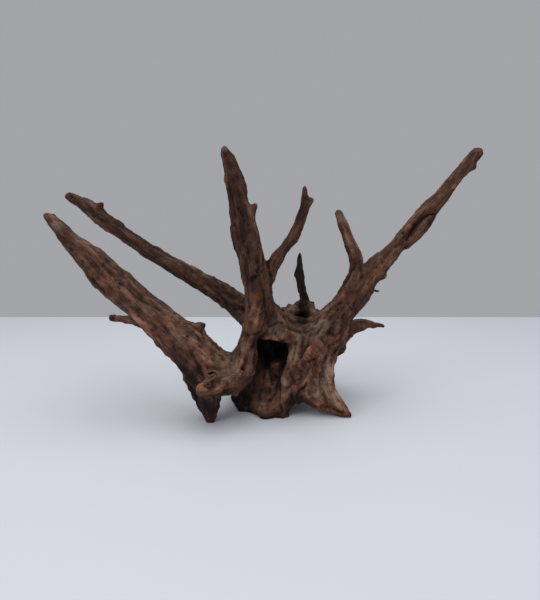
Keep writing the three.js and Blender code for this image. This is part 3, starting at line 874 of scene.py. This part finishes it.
def scattered(count, least, most, long):
    """Spots at seeded places all over, with radii from least to most metres, drawn out along the grain."""
    total = np.zeros(marks.count)
    for i in rng.choice(marks.count, count, replace=False):
        size = rng.uniform(least, most)
        strength = min(size / most + 0.3, 1)
        middle, way = wood.points[i], ways[i]
        for _, j, _ in marks.tree.find_range(middle, size * long * SPOT_EDGE):
            offset = wood.points[j] - middle
            along = offset @ way
            across = math.sqrt(max(offset @ offset - along * along, 0))
            far = math.hypot(along / long, across) / size
            if far < SPOT_EDGE:
                fade = (1 - far / SPOT_EDGE) ** 2 * (1 + 2 * far / SPOT_EDGE)
                total[j] = max(total[j], fade * strength)
    return total


# Patterns, in the order of their random draws
wear = shape_places()
stout = np.clip(thickness_of(wood, solid) / STOUT, SLIGHTEST, 1)
broad = streaks(12, 50 * MM)
cord = streaks(4, 30 * MM)
fibre = streaks(1, 14 * MM)
furrow = np.exp(-(broad / FURROW_WIDTH) ** 2)
check = np.exp(-(cord / CHECK_WIDTH) ** 2) * ramp(noise_at(wood.points, CHECK_GROUP, seed=5), 0.08, 0.4)
lump = noise_at(wood.points, LUMP_SIZE, seed=11) + 0.8 * noise_at(wood.points, 2.2 * LUMP_SIZE, seed=17)
wrinkle = noise_at(wood.points, WRINKLE_SIZE, seed=23)
small_pits = scattered(170, 0.9 * MM, 2.0 * MM, long=1.4)
small_knots = scattered(260, 1.6 * MM, 3.8 * MM, long=1.5)
small_cracks = scattered(90, 0.8 * MM, 1.2 * MM, long=7)
named_pits = marks.spots(pits)
named_cracks = marks.lines(cracks)
# openness sets the painted shade in the cave, the hollows and under the limbs
openness = openness_of(rough, wood)


def relief():
    """How far each vertex moves out along its normal."""
    calm = 1 - CALM * marks.spots(tan)
    stumpy = ramp(np.linalg.norm(wood.points - MIDDLE, axis=1), *STUMP_REACH)
    height = stout * (RIB_HEIGHT * broad - FURROW_DEPTH * furrow - CHECK_DEPTH * check)
    height += np.sqrt(stout) * (FIBRE_HEIGHT * fibre + CORD_HEIGHT * cord + WRINKLE_HEIGHT * wrinkle)
    height += stout * LUMP_HEIGHT * lump + stumpy * WRINKLE_HEIGHT * wrinkle
    height *= calm
    small = SMALL_KNOT * small_knots - SMALL_PIT * small_pits - SMALL_CRACK * small_cracks
    height += MM * calm * np.sqrt(stout) * small
    height += MM * (marks.spots(knobs) + marks.lines(ridges) - marks.spots(recesses))
    height -= MM * np.maximum(named_pits, named_cracks)
    height[wood.points[:, 2] < FOOT_LEVEL] = 0
    return height


height = relief()
sky = wood.spread(wood.normals[:, 2], 4)  # before the relief, so that it tells which way the limb faces
finished = wood.points + wood.normals * height[:, None]
finished[:, 2] = np.maximum(finished[:, 2], 0)
wood.move(finished)


# What the material reads at each vertex
def attribute(name, values):
    layer = wood.mesh.attributes.new(name, "FLOAT", "POINT")
    layer.data.foreach_set("value", np.clip(np.asarray(values, np.float32), 0, 1))


# painted black shade in the named and seeded pits and cracks
hole = np.maximum(0.9 * ramp(named_pits, 0.6, 2.6), 0.75 * ramp(named_cracks, 0.7, 2.2))
hole = np.maximum(hole, 0.5 * np.maximum(ramp(small_pits, 0.3, 0.9), ramp(small_cracks, 0.4, 1.0)))
attribute("hole", hole)
# stretches of painted light and painted shade, with some of the wood's own tone in both
light_and_pale, shade_and_dark = marks.lines(pale), marks.lines(deep)
# painted shade from openness, lifted where light is painted and where the wood is worn
lit = np.maximum(light_and_pale, wear)
attribute("painted_hollow_shade", ramp(openness, *SHUT) * (1 - lit))
attribute("painted_soft_shade", ramp(openness, *SHADED) * (1 - lit))
# painted shade and painted light along the stretches
attribute("shade", 0.5 + 0.5 * (light_and_pale - shade_and_dark))
# painted shade where the surface lies below its surroundings, in furrows and creases
attribute("painted_furrow_shade", 0.5 + (wood.spread(height, 10) - height) / FURROW_SHADE_DEPTH)
attribute("streak", 0.5 + 0.17 * cord + 0.12 * fibre)
attribute("patch", 0.5 + 0.16 * streaks(7, 24 * MM) + 0.3 * noise_at(wood.points, 14 * MM, seed=31))
attribute("sky", 0.5 + 0.5 * sky)
behind = ramp(wood.spread(wood.normals[:, 1], 10), *TURNED_BACK)
for name, (table, count, most) in coloured.items():
    unseen = most * behind * scattered(count, 4 * MM, 9 * MM, long=2.5)
    attribute(name, np.maximum(marks.spots(table), unseen))
# black patches: mostly painted shade under the limbs, the lip and the block, partly the twigs' own dark tone
attribute("dark", marks.spots(dark))
drawn, on_one_limb = drawn_places(wood.points)
attribute("fibre_share", on_one_limb)
layer = wood.mesh.attributes.new("drawn_place", "FLOAT_VECTOR", "POINT")
layer.data.foreach_set("vector", drawn.astype(np.float32).ravel())


# Material
class Nodes:
    """Short words for making a material's nodes."""

    def __init__(self, name):
        self.material = bpy.data.materials.new(name)
        self.material.use_nodes = True
        self.tree = self.material.node_tree
        self.tree.nodes.clear()

    def add(self, kind, **settings):
        node = self.tree.nodes.new(kind)
        for key, value in settings.items():
            setattr(node, key, value)
        return node

    def link(self, source, target):
        self.tree.links.new(source, target)

    def fill(self, sockets, terms):
        for socket, term in zip(sockets, terms):
            if isinstance(term, (int, float)):
                socket.default_value = term
            elif isinstance(term, tuple):
                socket.default_value = (*term, 1)
            else:
                self.link(term, socket)

    def value(self, name):
        return self.add("ShaderNodeAttribute", attribute_name=name).outputs["Fac"]

    def place(self, name):
        return self.add("ShaderNodeAttribute", attribute_name=name).outputs["Vector"]

    def math(self, operation, a, b):
        node = self.add("ShaderNodeMath", operation=operation)
        self.fill(node.inputs, (a, b))
        return node.outputs[0]

    def times(self, a, b):
        return self.math("MULTIPLY", a, b)

    def about_nought(self, share):
        return self.math("SUBTRACT", share, 0.5)

    def mix(self, share, a, b, blend="MIX"):
        node = self.add("ShaderNodeMix", data_type="RGBA", blend_type=blend)
        self.fill((node.inputs[0], node.inputs[6], node.inputs[7]), (share, a, b))
        return node.outputs[2]

    def colours(self, share, stops):
        node = self.add("ShaderNodeValToRGB")
        elements = node.color_ramp.elements
        while len(elements) < len(stops):
            elements.new(0.5)
        for element, (place, colour) in zip(elements, stops):
            element.position = place
            element.color = (*colour, 1)
        self.link(share, node.inputs[0])
        return node.outputs["Color"]

    def steps(self, value, low, high):
        """0 at low, 1 at high, and smooth between."""
        node = self.add("ShaderNodeMapRange", interpolation_type="SMOOTHSTEP")
        self.fill(node.inputs, (value, low, high, 0.0, 1.0))
        return node.outputs["Result"]

    def noise(self, scale, detail=4.0, rough=0.6, place=None):
        place = place or self.add("ShaderNodeTexCoord").outputs["Object"]
        node = self.add("ShaderNodeTexNoise")
        self.fill([node.inputs[name] for name in ("Scale", "Detail", "Roughness")], (scale, detail, rough))
        self.link(place, node.inputs["Vector"])
        return node.outputs["Fac"]

    def along_the_grain(self, scale, rough):
        """Noise about 0 that is drawn out along each limb, and fades where two limbs meet."""
        pattern = self.noise(scale, 4, rough, self.place("drawn_place"))
        return self.times(self.about_nought(pattern), self.value("fibre_share"))

    def finish(self, shader):
        self.link(shader.outputs[0], self.add("ShaderNodeOutputMaterial").inputs["Surface"])
        return self.material


# Colours from dark to light, by how light the grain is
BROWNS = [
    (0.30, (0.026, 0.011, 0.0072)),
    (0.43, (0.054, 0.023, 0.0153)),
    (0.56, (0.100, 0.045, 0.0279)),
    (0.72, (0.190, 0.098, 0.0594)),
]
TANS = [
    (0.30, (0.062, 0.037, 0.0250)),
    (0.50, (0.145, 0.092, 0.0620)),
    (0.72, (0.250, 0.172, 0.1210)),
]
ORANGES = [
    (0.30, (0.095, 0.032, 0.0144)),
    (0.50, (0.235, 0.092, 0.0378)),
    (0.72, (0.400, 0.190, 0.0855)),
]
REDS = [
    (0.30, (0.040, 0.013, 0.009)),
    (0.50, (0.110, 0.038, 0.0243)),
    (0.72, (0.210, 0.085, 0.054)),
]
GREYS_AND_SHEEN = [
    (0.30, (0.060, 0.041, 0.037)),
    (0.50, (0.120, 0.087, 0.079)),
    (0.72, (0.200, 0.152, 0.140)),
]
# Colours of the black patches, most of them painted shade
BLACKS_AND_PAINTED_SHADE = [
    (0.30, (0.006, 0.004, 0.0035)),
    (0.55, (0.014, 0.008, 0.007)),
    (0.75, (0.036, 0.020, 0.017)),
]
# Painted shade and light: what a colour is multiplied by, from the darkest stretches to the lightest
PAINTED_SHADE_AND_LIGHT = [
    (0.0, (0.40, 0.34, 0.31)),
    (0.5, (1.0, 1.0, 1.0)),
    (1.0, (2.10, 2.05, 2.00)),
]
# Painted shade in the furrows: what a colour is multiplied by, from the ribs down to the bottoms of the
# furrows
FURROW_SHADES = [
    (0.50, (1.0, 1.0, 1.0)),
    (0.95, (0.46, 0.38, 0.34)),
]
# Painted black shade in pits and cracks
PAINTED_HOLE_SHADE_COLOUR = (0.016, 0.010, 0.008)
# Painted shade: dark where the wood sees little sky, near black in closed hollows
PAINTED_SOFT_SHADE_COLOUR = (0.024, 0.014, 0.011)
PAINTED_HOLLOW_SHADE_COLOUR = (0.008, 0.006, 0.005)
REDDISH = 0.19  # how strongly reddish patches show in the brown
OLIVE = 0.31  # how strongly olive patches show where the wood faces the sky
SOFT_SHADE_SHARE = 0.4
BUMP_DEPTH = 0.5 * MM
BUMP_STRENGTH = 0.85
SHINE = 0.18
DARKEST_TONE = 0.053


def bark_material():
    nodes = Nodes("bark brown wood")
    mottle = nodes.noise(90, 5)
    speck = nodes.noise(520, 3)
    edge = nodes.noise(160, 4)
    fibres = nodes.along_the_grain(900, 0.7)
    strands = nodes.along_the_grain(260, 0.65)

    tone = DARKEST_TONE
    parts = [
        (nodes.value("streak"), 0.35),
        (mottle, 0.34),
        (speck, 0.22),
        (nodes.about_nought(edge), 0.25),
        (fibres, 0.72),
        (strands, 0.52),
    ]
    for part, weight in parts:
        tone = nodes.math("ADD", tone, nodes.times(part, weight))

    def ragged(share):
        """A patch whose edge is broken up."""
        torn = nodes.math("ADD", share, nodes.times(nodes.about_nought(edge), 0.7))
        return nodes.steps(torn, 0.18, 0.75)

    colour = nodes.colours(tone, BROWNS)
    reddish = nodes.steps(nodes.value("patch"), 0.50, 0.68)
    colour = nodes.mix(nodes.times(reddish, REDDISH), colour, nodes.colours(tone, REDS))
    # olive-tan patches, lighter, where the surface faces up
    facing_up = nodes.steps(nodes.value("sky"), 0.55, 0.95)
    olive = nodes.times(facing_up, nodes.steps(nodes.value("patch"), 0.62, 0.36))
    colour = nodes.mix(nodes.times(olive, OLIVE), colour, nodes.colours(tone, TANS))
    patches = {"tan": TANS, "grey_and_sheen": GREYS_AND_SHEEN, "red": REDS, "orange": ORANGES, "dark": BLACKS_AND_PAINTED_SHADE}
    for name, stops in patches.items():
        colour = nodes.mix(ragged(nodes.value(name)), colour, nodes.colours(tone, stops))
    # painted shade in the furrows, then painted shade and light along the stretches
    for name, stops in (("painted_furrow_shade", FURROW_SHADES), ("shade", PAINTED_SHADE_AND_LIGHT)):
        colour = nodes.mix(1.0, colour, nodes.colours(nodes.value(name), stops), "MULTIPLY")
    # painted black shade in pits and cracks
    colour = nodes.mix(nodes.value("hole"), colour, PAINTED_HOLE_SHADE_COLOUR)
    # painted shade where the wood sees little sky, and painted black shade in closed hollows
    colour = nodes.mix(nodes.times(nodes.value("painted_soft_shade"), SOFT_SHADE_SHARE), colour, PAINTED_SOFT_SHADE_COLOUR)
    colour = nodes.mix(nodes.value("painted_hollow_shade"), colour, PAINTED_HOLLOW_SHADE_COLOUR)

    bump = nodes.add("ShaderNodeBump")
    bump.inputs["Distance"].default_value = BUMP_DEPTH
    bump.inputs["Strength"].default_value = BUMP_STRENGTH
    relief_in_bump = nodes.math("ADD", speck, nodes.math("ADD", fibres, nodes.times(strands, 1.6)))
    nodes.link(relief_in_bump, bump.inputs["Height"])
    shader = nodes.add("ShaderNodeBsdfPrincipled")
    nodes.link(colour, shader.inputs["Base Color"])
    nodes.link(nodes.math("ADD", 0.66, nodes.times(mottle, 0.3)), shader.inputs["Roughness"])
    shader.inputs["Specular IOR Level"].default_value = SHINE
    nodes.link(bump.outputs["Normal"], shader.inputs["Normal"])
    return nodes.finish(shader)


surface = thinned(wood.mesh)
surface.polygons.foreach_set("use_smooth", np.ones(len(surface.polygons), bool))
surface.materials.clear()
surface.materials.append(bark_material())
piece = bpy.data.objects.new("driftwood", surface)
bpy.context.scene.collection.objects.link(piece)
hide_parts(NODE)
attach(piece, "root")


# Studio
def plain_material(name, colour, roughness):
    nodes = Nodes(name)
    shader = nodes.add("ShaderNodeBsdfPrincipled")
    shader.inputs["Base Color"].default_value = (*colour, 1)
    shader.inputs["Roughness"].default_value = roughness
    return nodes.finish(shader)


def floor(half, back):
    """A pale table, that wide to each side and to the front, and that deep to the back."""
    mesh = bpy.data.meshes.new("floor")
    corners = [(-half, -half, 0), (half, -half, 0), (half, back, 0), (-half, back, 0)]
    mesh.from_pydata(corners, [], [(0, 1, 2, 3)])
    mesh.materials.append(plain_material("pale floor", (0.71, 0.73, 0.79), 0.6))
    table = bpy.data.objects.new("floor", mesh)
    bpy.context.scene.collection.objects.link(table)


def area_light(name, place, size, power):
    """A soft light that shines at the stump."""
    light = bpy.data.lights.new(name, "AREA")
    light.size = size
    light.energy = power
    lamp = bpy.data.objects.new(name, light)
    lamp.location = place
    lamp.rotation_euler = (LIT_PLACE - Vector(place)).to_track_quat("-Z", "Y").to_euler()
    bpy.context.scene.collection.objects.link(lamp)


def camera():
    data = bpy.data.cameras.new("camera")
    data.lens = LENS
    data.sensor_width = SENSOR
    data.clip_start = 0.01
    shot = bpy.data.objects.new("camera", data)
    shot.location = CAMERA_PLACE
    shot.rotation_euler = (math.pi / 2 - CAMERA_PITCH, 0, 0)
    bpy.context.scene.collection.objects.link(shot)
    bpy.context.scene.camera = shot


def world(colour, strength):
    room = bpy.data.worlds.new("room")
    room.use_nodes = True
    back = room.node_tree.nodes["Background"]
    back.inputs["Color"].default_value = (*colour, 1)
    back.inputs["Strength"].default_value = strength
    bpy.context.scene.world = room


LIT_PLACE = Vector((0, 0, 0.1))
floor(half=1.1, back=0.5)
area_light("ceiling", place=(0.1, -0.1, 1.3), size=1.4, power=11)
area_light("window", place=(-0.9, -0.9, 0.8), size=0.9, power=5)
camera()
world(colour=(0.80, 0.82, 0.86), strength=0.455)
bpy.context.scene.view_settings.view_transform = "Standard"
